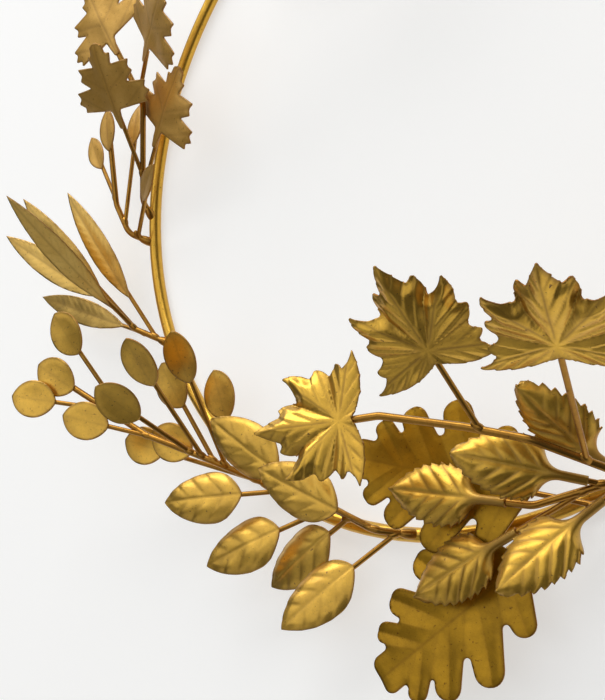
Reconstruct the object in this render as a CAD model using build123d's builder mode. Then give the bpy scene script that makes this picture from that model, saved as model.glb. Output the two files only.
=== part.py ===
"""Gold leaf candle ring: a round brass hoop with wire sprigs of eight kinds of pressed leaf brazed to it.

Millimetres and degrees. The ring lies on a table with its axis up Z, and the origin is on the table under
the middle of the hoop. Seen from above, every sprig leaves the hoop clockwise.
"""

import os
from itertools import pairwise
from math import cos, radians, sin, sqrt, tan
from typing import Callable, NamedTuple

from build123d import *

# Hoop
HOOP_DIAMETER = 290.0  # along the middle of the bar
BAR_DIAMETER = 5.0
REPEATS = 2  # times that the eight sprigs follow each other round the hoop

# Wires
STEM_DIAMETER = 2.4
TWIG_DIAMETER = 1.8
STEM_BEND_RADIUS = 8.0
SEAT_DEPTH = 0.2  # a wire is filed to fit this far into the leaf that it carries

# Leaf sheet
SHEET = 0.5
VEIN_LEAN = 50.0  # side veins of pleated leaves, from the midrib
PLEAT_DEPTH = 0.7

# Maple leaf: five lobes round the point where its veins meet
MAPLE_REACH = 29.0  # to the tip of the middle lobe
MAPLE_RELIEF = 8.0  # rise of the crests between the veins, over a leaf's reach
MAPLE_VEINS = (0, 40, 104, 180)
MAPLE_CRESTS = (22, 72, 142)
MAPLE_EDGE = (  # angle from the midrib and share of the reach, at each tip and notch
    (0, 1.00),
    (12, 0.70),
    (17, 0.77),
    (28, 0.56),
    (40, 0.84),
    (57, 0.60),
    (65, 0.66),
    (79, 0.50),
    (89, 0.62),
    (98, 0.54),
    (106, 0.76),
    (180, 0.14),
)
MAPLE_BASE_BULGE = 2.8  # of the edge from the stalk to the lowest lobe

# Oak leaf: rounded fingers on both sides of the midrib
OAK_END_LOBE = 9.0  # from the last bay to the tip
OAK_END_BREADTH = 13.0
OAK_STALK_BREADTH = 3.0
OAK_RELIEF = 5.0  # rise of the crests between the fingers, over the leaf's length
OAK_BASE_ANGLE = 100.0  # first crest, behind the fingers
OAK_FAN = 7.0  # angle from a finger to the crest in front of it
OAK_TIP_ROUND = 0.45  # radius of a finger's end over its breadth
OAK_SINUS_RADIUS = 1.0

# Hornbeam leaf: toothed and pleated, with the sheet gathered into a neck round the wire
HORNBEAM_LENGTH = 32.0
HORNBEAM_WIDTH = 19.0
HORNBEAM_BELLY = 13.0  # from the base to the widest place
HORNBEAM_VEINS = 5  # on each side
HORNBEAM_DROOP = 3.0  # of the tip
HORNBEAM_FOLD = 8.0  # rise of each half from the midrib
HORNBEAM_TEETH = 7  # on each side
HORNBEAM_TOOTH_DEPTH = 1.1
HORNBEAM_NECK = 8.0
HORNBEAM_NECK_DIAMETER = 3.2  # where the wire goes in
HORNBEAM_THROAT_DIAMETER = 4.4  # where the blade starts
HORNBEAM_GRIP = 4.0  # the neck runs out this far along the blade

# Beech leaf: egg-shaped and softly pleated
BEECH_LENGTH = 33.0
BEECH_WIDTH = 18.5
BEECH_BELLY = 13.0
BEECH_VEINS = 4
BEECH_DROOP = 4.0
BEECH_FOLD = -8.0

# Eucalyptus leaf: a small dished oval
EUCALYPTUS_LENGTH = 20.0
EUCALYPTUS_WIDTH = 14.5
EUCALYPTUS_BELLY = 10.0
EUCALYPTUS_DROOP = 1.5
EUCALYPTUS_FOLD = 3.0

# Willow leaf: long and folded along its midrib
WILLOW_LENGTH = 60.0
WILLOW_WIDTH = 11.0
WILLOW_BELLY = 27.0
WILLOW_DROOP = 4.0
WILLOW_FOLD = 10.0

# Hawthorn leaf: jagged lobes on a narrow base
HAWTHORN_DROOP = 2.0
HAWTHORN_FOLD = -10.0
HAWTHORN_EDGE = (  # distance along the midrib and half width, at each tip and notch
    (0, 1.0),
    (8, 2.5),
    (9, 19.0),
    (11, 18.0),
    (13, 21.5),
    (15, 19.0),
    (17.5, 20.5),
    (18.5, 10.5),
    (22, 15.5),
    (24, 13.5),
    (27, 15.0),
    (26.5, 5.0),
    (31, 6.5),
    (31, 4.0),
    (34.5, 3.5),
    (36, 0),
)

# Myrtle leaf: a small narrow oval
MYRTLE_LENGTH = 19.0
MYRTLE_WIDTH = 9.0
MYRTLE_BELLY = 9.0
MYRTLE_DROOP = 1.5
MYRTLE_FOLD = 6.0

HOOP_RADIUS = HOOP_DIAMETER / 2
TALL = 30.0  # more than any leaf is high


class Finger(NamedTuple):
    """One finger of an oak leaf."""

    station: float  # where its vein leaves the midrib
    reach: float
    breadth: float
    angle: float  # from the midrib
    sinus: float  # distance from the midrib to the bay in front of it


class Leaf(NamedTuple):
    """A leaf in line with its own straight twig."""

    fork: float  # share of the stem's length, from its foot, where the twig leaves it
    twig: float  # length of the twig, to the leaf's base
    heading: float  # of the twig, 0 along the hoop, 90 outward and -90 inward
    pitch: float  # rise of the twig
    roll: float = 0  # turn of the leaf about its midrib


class Sprig(NamedTuple):
    """A stem with one leaf in line with its end, and the leaves on its twigs."""

    foot: float  # angle of the stem's foot on the hoop
    route: tuple  # bends of the stem and the base of its leaf: clockwise turn from the foot, out and up
    leaves: tuple


OAK_FINGERS = (
    Finger(7, 19, 6.5, 76, 8),
    Finger(19, 26, 9, 66, 7),
    Finger(31, 23, 8, 55, 7.5),
    Finger(42, 17.5, 6.5, 48, 6.3),
)

SPRIGS = {
    "maple": Sprig(
        foot=-40,
        route=((14, 6, 20), (20, -12, 39), (27, -22, 43), (39, -31, 49), (45, -30, 52)),
        leaves=(
            Leaf(0.64, 28, -94, 42),
            Leaf(0.40, 48, -144, 56, 30),
        ),
    ),
    "hornbeam": Sprig(
        foot=-47,
        route=((8, 3, 11), (19, 0, 19), (25, -6, 22)),
        leaves=(
            Leaf(0.39, 11, -80, 52, -20),
            Leaf(0.48, 13, -38, 38),
            Leaf(0.29, 23, 16, 27),
            Leaf(0.57, 32, 6, 7),
        ),
    ),
    "oak": Sprig(
        foot=-54,
        route=((6.3, 4.3, 7.9), (16.2, 13.3, 10)),
        leaves=(Leaf(0.34, 20, -35, 10),),
    ),
    "beech": Sprig(
        foot=-86,
        route=((5, 0, 12), (14, -5, 13), (21, -10, 20)),
        leaves=(
            Leaf(0.75, 23, 24, 17),
            Leaf(0.23, 15, -20, 22),
            Leaf(0.56, 20, 38, 13),
            Leaf(0.42, 9, 45, 2),
            Leaf(0.13, 18, 46, 18),
        ),
    ),
    "eucalyptus": Sprig(
        foot=-112,
        route=((9, 3, 18), (18, 12, 28), (29, 23, 40)),
        leaves=(
            Leaf(0.67, 34, -8, 20),
            Leaf(0.79, 21, 44, 25),
            Leaf(0.57, 16, 32, 28),
            Leaf(0.37, 23, -7, 48),
            Leaf(0.32, 33, -43, 44),
            Leaf(0.16, 21, 10, 17),
            Leaf(0.22, 34, -51, 33),
            Leaf(0.27, 24, -24, 14),
            Leaf(0.13, 22, -40, 12),
            Leaf(0.09, 41, 15, 14),
        ),
    ),
    "willow": Sprig(
        foot=-146,
        route=((5, 11, 10), (11, 17, 17)),
        leaves=(
            Leaf(0.42, 14, 8, 43),
            Leaf(0.18, 21, 8, 14),
            Leaf(0.66, 12, 38, 15),
            Leaf(0.30, 12, 46, 4),
        ),
    ),
    "hawthorn": Sprig(
        foot=-169,
        route=((3, 1, 9), (18, -8, 24), (25, 8, 30)),
        leaves=(
            Leaf(0.68, 16, -38, 29),
            Leaf(0.26, 21, -4, 40),
            Leaf(0.16, 22, -43, 20),
        ),
    ),
    "myrtle": Sprig(
        foot=-165,
        route=((2, 8, 10), (7, 13, 13), (15, 14, 18)),
        leaves=(
            Leaf(0.54, 17, 28, 4),
            Leaf(0.31, 34, -11, 2),
            Leaf(0.15, 20, -60, 30),
        ),
    ),
}


def polar(reach, angle):
    """Point of a leaf's plane at a distance and an angle from its midrib."""
    return Vector(reach * cos(radians(angle)), reach * sin(radians(angle)))


def hoop_point(angle, out, up):
    """Point beside the hoop."""
    return Vector(HOOP_RADIUS + out, 0, up).rotate(Axis.Z, angle)


def twig_direction(point, leaf):
    """Direction of a twig that starts at a point."""
    level = Vector(point.X, point.Y).normalized().rotate(Axis.Z, leaf.heading - 90)
    return level * cos(radians(leaf.pitch)) + Vector(0, 0, sin(radians(leaf.pitch)))


def leaf_place(base, along, roll, diameter):
    """Place of a leaf that lies on the end of a wire, with X along its midrib and Z out of its face."""
    level = Vector(0, 0, 1).cross(along)
    wire_end = Plane(base, x_dir=along, z_dir=along.cross(level)).location
    return wire_end * Location((0, 0, 0), (roll, 0, 0)) * Location((0, 0, diameter / 2 - SEAT_DEPTH))


def make_hoop():
    with BuildPart() as hoop:
        with BuildSketch(Plane.XZ):
            with Locations((HOOP_RADIUS, BAR_DIAMETER / 2)):
                Circle(BAR_DIAMETER / 2)
        revolve(axis=Axis.Z)
    return hoop.part


def creased_sheet(creases):
    """Sheet folded along straight creases, each given by its inner and outer end."""
    facets = []
    for (inner, outer), (next_inner, next_outer) in pairwise(creases):
        facets.append((inner, outer, next_outer))
        if (next_inner - inner).length > SHEET:
            facets.append((inner, next_outer, next_inner))
    with BuildPart() as sheet:
        for first, second, third in facets:
            plane = Plane(first, x_dir=second - first, z_dir=(second - first).cross(third - first))
            with BuildSketch(plane):
                with BuildLine():
                    Polyline(*map(plane.to_local_coords, (first, second, third)), close=True)
                make_face()
            extrude(amount=SHEET, dir=(0, 0, -1))
    return sheet.part


def pleated_sheet(length, width, veins, droop, fold):
    """Half of a drooping blade with a pleat at each vein. The veins lean towards the tip."""
    lean = polar(1, VEIN_LEAN)
    reach = width / 2 / lean.Y
    pitch = length / veins / 2
    behind = round(reach * lean.X / pitch) + 1
    ridge = []
    for step in range(-behind, 2 * veins + 2):
        x = step * pitch
        ridge.append((x, SHEET - droop * (x / length) ** 2 + PLEAT_DEPTH * (step % 2)))
    with BuildPart() as sheet:
        with BuildSketch(Plane.XZ):
            with BuildLine():
                Polyline(*ridge, *((x, z - SHEET) for x, z in reversed(ridge)), close=True)
            make_face()
        extrude(amount=2 * reach, dir=lean + Vector(0, 0, lean.Y * tan(radians(fold))))
    return sheet.part


def bent_sheet(length, width, droop, fold):
    """Half of a smooth blade that droops towards its tip."""
    top = ((0, SHEET), (length / 2, SHEET - droop / 4), (length, SHEET - droop))
    bottom = [(x, z - SHEET) for x, z in top]
    with BuildPart() as sheet:
        with BuildSketch(Plane.XZ):
            with BuildLine():
                ThreePointArc(*top)
                Line(top[2], bottom[2])
                ThreePointArc(*bottom)
                Line(bottom[0], top[0])
            make_face()
        extrude(amount=width, dir=(0, 1, tan(radians(fold))))
    return sheet.part


def egg_half(length, width, belly):
    """Half of an egg-shaped outline, widest at its belly, with a pointed tip."""
    with BuildSketch() as half:
        with BuildLine():
            TangentArc((belly, width / 2), (0, 0), tangent=(-1, 0))
            TangentArc((belly, width / 2), (length, 0), tangent=(1, 0))
            Line((0, 0), (length, 0))
        make_face()
    return half.sketch


def pressed_leaf(sheet, half_outline):
    """Sheet on one side of the midrib, cut to the leaf's outline, and its mirror image."""
    with BuildPart() as leaf:
        add(sheet)
        extrude(half_outline, amount=TALL, both=True, mode=Mode.INTERSECT)
        mirror(about=Plane.XZ)
    return leaf.part


def maple_leaf():
    """Pointed lobes, with panels that rise between the veins."""
    edge = [polar(MAPLE_REACH * share, angle) for angle, share in MAPLE_EDGE]
    with BuildSketch() as half:
        with BuildLine():
            Polyline(*edge[:-1])
            SagittaArc(edge[-1], edge[-2], MAPLE_BASE_BULGE)
            Line(edge[-1], edge[0])
        make_face()
    hub = Vector(0, 0, SHEET)
    reach = 2 * MAPLE_REACH
    crest = Vector(0, 0, MAPLE_RELIEF)
    creases = [(hub, hub + polar(reach, angle)) for angle in MAPLE_VEINS]
    for place, angle in enumerate(MAPLE_CRESTS):
        creases.insert(2 * place + 1, (hub, hub + polar(reach, angle) + crest))
    return pressed_leaf(creased_sheet(creases), half.sketch)


def finger_flank(finger, side):
    """Place along the leaf of a finger's front or back edge, level with the bay in front of it."""
    lean = radians(finger.angle)
    return finger.station + finger.sinus / tan(lean) + side * finger.breadth / 2 / sin(lean)


def oak_leaf():
    """Rounded fingers, each folded along its own vein."""
    bays = []
    for finger, ahead in pairwise(OAK_FINGERS):
        facing = ahead._replace(sinus=finger.sinus)
        bays.append((finger_flank(finger, 1) + finger_flank(facing, -1)) / 2)
    bays.append(finger_flank(OAK_FINGERS[-1], 1))
    length = bays[-1] + OAK_END_LOBE
    corners = [Vector(0, OAK_STALK_BREADTH / 2)]
    radii = []
    for finger, bay in zip(OAK_FINGERS, bays):
        tip = Vector(finger.station, 0) + polar(finger.reach, finger.angle)
        side = polar(finger.breadth / 2, finger.angle + 90)
        tip_radius = OAK_TIP_ROUND * finger.breadth
        corners += [tip + side, tip - side, Vector(bay, finger.sinus)]
        radii += [tip_radius, tip_radius, OAK_SINUS_RADIUS]
    corners += [Vector(length, OAK_END_BREADTH / 2), Vector(length, 0)]
    radii.append(OAK_TIP_ROUND * OAK_END_BREADTH)
    with BuildSketch() as half:
        with BuildLine():
            edge = FilletPolyline(*corners, radius=radii)
            Polyline(edge @ 1, (0, 0), edge @ 0)
        make_face()
    rib = Vector(0, 0, SHEET)
    crest = Vector(0, 0, OAK_RELIEF)
    creases = [(rib, rib + polar(length, OAK_BASE_ANGLE) + crest)]
    for finger, bay in zip(OAK_FINGERS, bays):
        start = rib + Vector(finger.station, 0)
        creases.append((start, start + polar(length, finger.angle)))
        lean = finger.angle - OAK_FAN
        start = rib + Vector(bay - finger.sinus / tan(radians(lean)), 0)
        creases.append((start, start + polar(length, lean) + crest))
    creases.append((start, start + polar(length, 0)))
    return pressed_leaf(creased_sheet(creases), half.sketch)


def hornbeam_edge(x):
    """Half width of the untoothed hornbeam blade, on the same two arcs as an egg-shaped outline."""
    half = HORNBEAM_WIDTH / 2
    run = HORNBEAM_BELLY if x < HORNBEAM_BELLY else HORNBEAM_LENGTH - HORNBEAM_BELLY
    radius = (run**2 + half**2) / 2 / half
    return half - radius + sqrt(radius**2 - (x - HORNBEAM_BELLY) ** 2)


def hornbeam_leaf():
    """Toothed and pleated blade, with a neck that swallows the end of its wire."""
    pitch = HORNBEAM_LENGTH / (HORNBEAM_TEETH + 1)
    teeth = []
    for tooth in range(1, HORNBEAM_TEETH + 1):
        x = tooth * pitch
        teeth += [(x, hornbeam_edge(x)), (x, hornbeam_edge(x) - HORNBEAM_TOOTH_DEPTH)]
    with BuildSketch() as half:
        with BuildLine():
            Polyline((0, 0), *teeth, (HORNBEAM_LENGTH, 0), close=True)
        make_face()
    sheet = pleated_sheet(HORNBEAM_LENGTH, HORNBEAM_WIDTH, HORNBEAM_VEINS, HORNBEAM_DROOP, HORNBEAM_FOLD)
    blade = pressed_leaf(sheet, half.sketch)
    middle = SEAT_DEPTH - TWIG_DIAMETER / 2
    with BuildPart() as leaf:
        add(blade)
        with BuildSketch(Plane.XZ):
            with BuildLine():
                Polyline(
                    (-HORNBEAM_NECK, middle),
                    (-HORNBEAM_NECK, middle + HORNBEAM_NECK_DIAMETER / 2),
                    (0, middle + HORNBEAM_THROAT_DIAMETER / 2),
                    (HORNBEAM_GRIP, middle),
                    close=True,
                )
            make_face()
        revolve(axis=Axis((0, 0, middle), (1, 0, 0)))
    return leaf.part


def beech_leaf():
    sheet = pleated_sheet(BEECH_LENGTH, BEECH_WIDTH, BEECH_VEINS, BEECH_DROOP, BEECH_FOLD)
    return pressed_leaf(sheet, egg_half(BEECH_LENGTH, BEECH_WIDTH, BEECH_BELLY))


def eucalyptus_leaf():
    sheet = bent_sheet(EUCALYPTUS_LENGTH, EUCALYPTUS_WIDTH, EUCALYPTUS_DROOP, EUCALYPTUS_FOLD)
    return pressed_leaf(sheet, egg_half(EUCALYPTUS_LENGTH, EUCALYPTUS_WIDTH, EUCALYPTUS_BELLY))


def willow_leaf():
    sheet = bent_sheet(WILLOW_LENGTH, WILLOW_WIDTH, WILLOW_DROOP, WILLOW_FOLD)
    return pressed_leaf(sheet, egg_half(WILLOW_LENGTH, WILLOW_WIDTH, WILLOW_BELLY))


def hawthorn_leaf():
    """Jagged lobes on a blade that is folded along its midrib."""
    with BuildSketch() as half:
        with BuildLine():
            Polyline((0, 0), *HAWTHORN_EDGE, close=True)
        make_face()
    length = HAWTHORN_EDGE[-1][0]
    sheet = bent_sheet(length, length, HAWTHORN_DROOP, HAWTHORN_FOLD)
    return pressed_leaf(sheet, half.sketch)


def myrtle_leaf():
    sheet = bent_sheet(MYRTLE_LENGTH, MYRTLE_WIDTH, MYRTLE_DROOP, MYRTLE_FOLD)
    return pressed_leaf(sheet, egg_half(MYRTLE_LENGTH, MYRTLE_WIDTH, MYRTLE_BELLY))


class Kind(NamedTuple):
    """How one kind of leaf is made and how far its wire runs along it, past its base."""

    make: Callable
    hold: float


KINDS = {
    "maple": Kind(maple_leaf, 3),
    "hornbeam": Kind(hornbeam_leaf, 3 - HORNBEAM_NECK),
    "oak": Kind(oak_leaf, 8),
    "beech": Kind(beech_leaf, 5),
    "eucalyptus": Kind(eucalyptus_leaf, 4),
    "willow": Kind(willow_leaf, 7),
    "hawthorn": Kind(hawthorn_leaf, 5),
    "myrtle": Kind(myrtle_leaf, 4),
}


def make_sprig(sprig, kind, hoop):
    """Stem, twigs and leaves of one sprig, each wire filed to what it is brazed to."""
    foot = hoop_point(sprig.foot, 0, BAR_DIAMETER / 2)
    corners = [hoop_point(sprig.foot - turn, out, up) for turn, out, up in sprig.route]
    base = corners.pop()
    along = (base - corners[-1]).normalized()
    places = [leaf_place(base, along, 0, STEM_DIAMETER)]
    with BuildPart() as stem:
        with BuildLine() as route:
            line = FilletPolyline(foot, *corners, base + along * kind.hold, radius=STEM_BEND_RADIUS)
        with BuildSketch(Plane(line @ 0, z_dir=line % 0)):
            Circle(STEM_DIAMETER / 2)
        sweep(path=route.wire())

    with BuildPart() as twigs:
        for leaf in sprig.leaves:
            fork = line @ leaf.fork
            along = twig_direction(fork, leaf)
            places.append(leaf_place(fork + along * leaf.twig, along, leaf.roll, TWIG_DIAMETER))
            with BuildSketch(Plane(fork, z_dir=along)):
                Circle(TWIG_DIAMETER / 2)
            extrude(amount=leaf.twig + kind.hold)

    blade = kind.make()
    with BuildPart() as leaves:
        with Locations(*places):
            add(blade)
    with BuildPart() as filed_stem:
        add(stem.part)
        add(hoop, mode=Mode.SUBTRACT)
        add(leaves.part, mode=Mode.SUBTRACT)
    with BuildPart() as filed_twigs:
        add(twigs.part)
        add(stem.part, mode=Mode.SUBTRACT)
        add(hoop, mode=Mode.SUBTRACT)
        add(leaves.part, mode=Mode.SUBTRACT)
    return {"stem": filed_stem.part, "twigs": filed_twigs.part, "leaves": leaves.part}


def write(part, name, turn=0):
    """One finished piece, turned round the hoop to its place."""
    with BuildPart() as piece:
        with Locations(Location((0, 0, 0), (0, 0, turn))):
            add(part)
    piece.part.label = name
    export_step(piece.part, f"parts/{name}.step")


os.makedirs("parts", exist_ok=True)
hoop = make_hoop()
write(hoop, "hoop")
for plant, sprig in SPRIGS.items():
    pieces = make_sprig(sprig, KINDS[plant], hoop)
    for piece, part in pieces.items():
        for repeat in range(REPEATS):
            write(part, f"{plant}_{piece}_{repeat + 1}", -360 * repeat / REPEATS)
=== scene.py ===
"""Gold leaf candle ring: pressed and aged brass leaves on browned wire, on a pale floor under soft light."""

import random
from math import atan2, ceil, cos, degrees, exp, floor, hypot, pi, radians, sin, sqrt, tan
from typing import Callable, NamedTuple

import bmesh
import bpy
from mathutils import Matrix, Vector, noise


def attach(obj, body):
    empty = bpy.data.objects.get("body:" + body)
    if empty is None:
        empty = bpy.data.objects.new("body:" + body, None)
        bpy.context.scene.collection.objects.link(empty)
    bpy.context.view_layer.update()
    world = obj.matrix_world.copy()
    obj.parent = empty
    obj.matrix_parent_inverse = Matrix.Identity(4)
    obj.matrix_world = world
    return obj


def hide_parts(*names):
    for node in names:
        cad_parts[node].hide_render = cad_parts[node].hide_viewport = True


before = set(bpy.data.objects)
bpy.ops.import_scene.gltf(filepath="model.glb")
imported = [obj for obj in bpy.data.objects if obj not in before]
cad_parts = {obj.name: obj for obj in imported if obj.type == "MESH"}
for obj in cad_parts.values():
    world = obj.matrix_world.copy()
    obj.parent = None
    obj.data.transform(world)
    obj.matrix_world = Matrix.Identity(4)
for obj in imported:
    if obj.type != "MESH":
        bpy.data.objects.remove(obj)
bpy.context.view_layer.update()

# Sizes of the metal parts, in millimetres and degrees
MM = 0.001
HOOP_RADIUS = 145.0
BAR_DIAMETER = 5.0
REPEATS = 2
STEM_DIAMETER = 2.4
TWIG_DIAMETER = 1.8
STEM_BEND_RADIUS = 8.0
SEAT_DEPTH = 0.2
FORK_BRAZE = (2.8, 1.35)  # half length and half breadth of a bead of braze metal
FORK_BRAZE_RISE = 0.8
FOOT_BRAZE = (4.5, 1.9)
FOOT_BRAZE_RISE = 3.5
FORK_STEP = 0.02  # share of a stem's length over which its direction at a fork is taken
SHEET = 0.5
NET = 0.8  # spacing of the fine net of faces that a leaf is pressed from
FINE_NET = 0.5
WELD = 0.02  # points of the net that are nearer than this are one
ROLLED_EDGE = 2.5  # breadth of the strip along a leaf's edge that is rolled down
EDGE_SOFTNESS = 0.8  # reach of the filing that rounds tips and notches
EDGE_STEP = 0.4  # spacing of the points of a softened edge
TOOTH_BOW = 0.13  # sagitta of a tooth's edges, as a share of their length
LEAF_TIP_BOW = 0.02
MOST_TRIM = 0.48  # share of an edge that the rounding of one corner may take
PLEAT_CREST = 0.82  # share of a pleat's breadth at which its slow rise ends
VEIN_LEAN = 50.0

# What sets one leaf apart from the next of its kind
SEATED = 4.0  # length of blade that its wire holds in shape
LOOSENING = 8.0  # length over which the blade beyond comes free
DENT_SPACING = 9.0
DENT_FIELD = 50.0
MOST_TWIST = 0.001
CURL = (-0.0003, 0.0002)
PLEAT_DEPTH = (0.75, 1.15)
PLEAT_LEAN = 0.3
LEAN_RUN = 4.0  # breadth across the midrib over which the pleats' depth changes

MAPLE_REACH = 29.0
MAPLE_VEINS = (0, 40, 104, 180)
MAPLE_BAYS = (26, 76, 148)
MAPLE_BASE_BULGE = 2.8
MAPLE_RELIEF = 6.0  # fall from a vein to the bay beside it, at the leaf's reach
MAPLE_CREST = 0.55  # share of that fall that stands above the point where the veins meet
MAPLE_SIDE_DROOP = 1.5
MAPLE_TIP_DROOP = 2.0
MAPLE_VEIN_BREADTH = 0.4
MAPLE_VEIN_DEPTH = 0.25
MAPLE_SIDE_VEIN_LEAN = 27.0
MAPLE_SIDE_VEIN_STEP = 6.5
MAPLE_SIDE_VEIN_BREADTH = 0.3
MAPLE_PLEAT = 0.27
MAPLE_ROLLED_EDGE = 3.5
MAPLE_BAY_SHADE = 0.6  # painted shade in the bays, darker where each lobe falls away from its vein
MAPLE_EDGE = (  # angle from the midrib and share of the reach, at each tip and notch
    (0, 1.00),
    (12, 0.70),
    (17, 0.77),
    (28, 0.56),
    (40, 0.84),
    (57, 0.60),
    (65, 0.66),
    (79, 0.50),
    (89, 0.62),
    (98, 0.54),
    (106, 0.76),
    (180, 0.14),
)

OAK_END_LOBE = 9.0
OAK_END_BREADTH = 13.0
OAK_STALK_BREADTH = 3.0
OAK_RELIEF = 4.0
OAK_BASE_ANGLE = 100.0
OAK_FAN = 7.0
OAK_ROUNDING = 0.6  # radius of a finger's corners, as a share of its breadth
OAK_BAY_RADIUS = 1.4
OAK_CREASE_BREADTH = 0.5

HORNBEAM_LENGTH = 32.0
HORNBEAM_WIDTH = 19.0
HORNBEAM_BELLY = 13.0
HORNBEAM_TEETH = 9
HORNBEAM_TOOTH_DEPTH = 1.0
HORNBEAM_NECK = 8.0
HORNBEAM_NECK_RADIUS = 1.5
HORNBEAM_FIRST_TOOTH = 3.5
HORNBEAM_SIDE_VEINS = 6
HORNBEAM_VEIN_BEND = 0.25
HORNBEAM_PLEAT = 0.3
HORNBEAM_RIDGE = 0.25
HORNBEAM_RIB_DEPTH = 0.35
HORNBEAM_DOME = 2.6
HORNBEAM_TIP_DROOP = 3.0

BEECH_LENGTH = 33.0
BEECH_WIDTH = 18.5
BEECH_BELLY = 13.0
BEECH_SIDE_VEINS = 4.6
BEECH_VEIN_BEND = 0.2
BEECH_PLEAT = 0.38
BEECH_RIB_DEPTH = 0.2
BEECH_DOME = 2.4
BEECH_TIP_DROOP = 4.0

EUCALYPTUS_LENGTH = 20.0
EUCALYPTUS_WIDTH = 14.5
EUCALYPTUS_BELLY = 10.0
EUCALYPTUS_DISH = 0.5
EUCALYPTUS_TIP_DROOP = 1.5

WILLOW_LENGTH = 60.0
WILLOW_WIDTH = 11.0
WILLOW_BELLY = 27.0
WILLOW_FOLD = 5.0
WILLOW_TIP_DROOP = 4.0
WILLOW_SIDE_VEINS = 13
WILLOW_VEIN_LEAN = 35.0
WILLOW_PLEAT = 0.12

HAWTHORN_EDGE = (  # distance along the midrib and half width, at each tip and notch
    (0, 1.0),
    (8, 2.5),
    (9, 19.0),
    (11, 18.0),
    (13, 21.5),
    (15, 19.0),
    (17.5, 20.5),
    (18.5, 10.5),
    (22, 15.5),
    (24, 13.5),
    (27, 15.0),
    (26.5, 5.0),
    (31, 6.5),
    (31, 4.0),
    (34.5, 3.5),
    (36, 0),
)
HAWTHORN_LENGTH = 36.0
HAWTHORN_FOLD = 4.0
HAWTHORN_TIP_DROOP = 2.0
HAWTHORN_VEIN_DEPTH = 0.2
HAWTHORN_VEIN_LEAN = 60.0
HAWTHORN_VEIN_STARTS = (5, 16)

MYRTLE_LENGTH = 19.0
MYRTLE_WIDTH = 9.0
MYRTLE_BELLY = 9.0
MYRTLE_FOLD = 6.0
MYRTLE_TIP_DROOP = 1.5


class Finger(NamedTuple):
    """One finger of an oak leaf."""

    station: float  # where its vein leaves the midrib
    reach: float
    breadth: float
    angle: float
    sinus: float  # how far the bay past it stays from the midrib


class Leaf(NamedTuple):
    """A leaf in line with its own straight twig."""

    fork: float  # where the twig leaves the stem, as a share of the stem's length
    twig: float  # length of the twig up to the leaf's base
    heading: float  # 0 runs clockwise along the hoop, 90 points away from its middle
    pitch: float
    roll: float = 0


class Sprig(NamedTuple):
    """A stem with one leaf in line with its end, and the leaves on its twigs."""

    foot: float  # angle round the hoop
    route: tuple  # turn past the foot, way out and height, at each bend and at the base of the end leaf
    leaves: tuple


OAK_FINGERS = (
    Finger(7, 19, 6.5, 76, 8),
    Finger(19, 26, 9, 66, 7),
    Finger(31, 23, 8, 55, 7.5),
    Finger(42, 17.5, 6.5, 48, 6.3),
)

SPRIGS = {
    "maple": Sprig(
        foot=-40,
        route=((14, 6, 20), (20, -12, 39), (27, -22, 43), (39, -31, 49), (45, -30, 52)),
        leaves=(
            Leaf(0.64, 28, -94, 42),
            Leaf(0.40, 48, -144, 56, 30),
        ),
    ),
    "hornbeam": Sprig(
        foot=-47,
        route=((8, 3, 11), (19, 0, 19), (25, -6, 22)),
        leaves=(
            Leaf(0.39, 11, -80, 52, -20),
            Leaf(0.48, 13, -38, 38),
            Leaf(0.29, 23, 16, 27),
            Leaf(0.57, 32, 6, 7),
        ),
    ),
    "oak": Sprig(
        foot=-54,
        route=((6.3, 4.3, 7.9), (16.2, 13.3, 10)),
        leaves=(Leaf(0.34, 20, -35, 10),),
    ),
    "beech": Sprig(
        foot=-86,
        route=((5, 0, 12), (14, -5, 13), (21, -10, 20)),
        leaves=(
            Leaf(0.75, 23, 24, 17),
            Leaf(0.23, 15, -20, 22),
            Leaf(0.56, 20, 38, 13),
            Leaf(0.42, 9, 45, 2),
            Leaf(0.13, 18, 46, 18),
        ),
    ),
    "eucalyptus": Sprig(
        foot=-112,
        route=((9, 3, 18), (18, 12, 28), (29, 23, 40)),
        leaves=(
            Leaf(0.67, 34, -8, 20),
            Leaf(0.79, 21, 44, 25),
            Leaf(0.57, 16, 32, 28),
            Leaf(0.37, 23, -7, 48),
            Leaf(0.32, 33, -43, 44),
            Leaf(0.16, 21, 10, 17),
            Leaf(0.22, 34, -51, 33),
            Leaf(0.27, 24, -24, 14),
            Leaf(0.13, 22, -40, 12),
            Leaf(0.09, 41, 15, 14),
        ),
    ),
    "willow": Sprig(
        foot=-146,
        route=((5, 11, 10), (11, 17, 17)),
        leaves=(
            Leaf(0.42, 14, 8, 43),
            Leaf(0.18, 21, 8, 14),
            Leaf(0.66, 12, 38, 15),
            Leaf(0.30, 12, 46, 4),
        ),
    ),
    "hawthorn": Sprig(
        foot=-169,
        route=((3, 1, 9), (18, -8, 24), (25, 8, 30)),
        leaves=(
            Leaf(0.68, 16, -38, 29),
            Leaf(0.26, 21, -4, 40),
            Leaf(0.16, 22, -43, 20),
        ),
    ),
    "myrtle": Sprig(
        foot=-165,
        route=((2, 8, 10), (7, 13, 13), (15, 14, 18)),
        leaves=(
            Leaf(0.54, 17, 28, 4),
            Leaf(0.31, 34, -11, 2),
            Leaf(0.15, 20, -60, 30),
        ),
    ),
}


# Places of the stems, twigs and leaves
def hoop_point(angle, out, up):
    """Point beside the hoop."""
    return Matrix.Rotation(radians(angle), 3, "Z") @ Vector((HOOP_RADIUS + out, 0, up))


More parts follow.
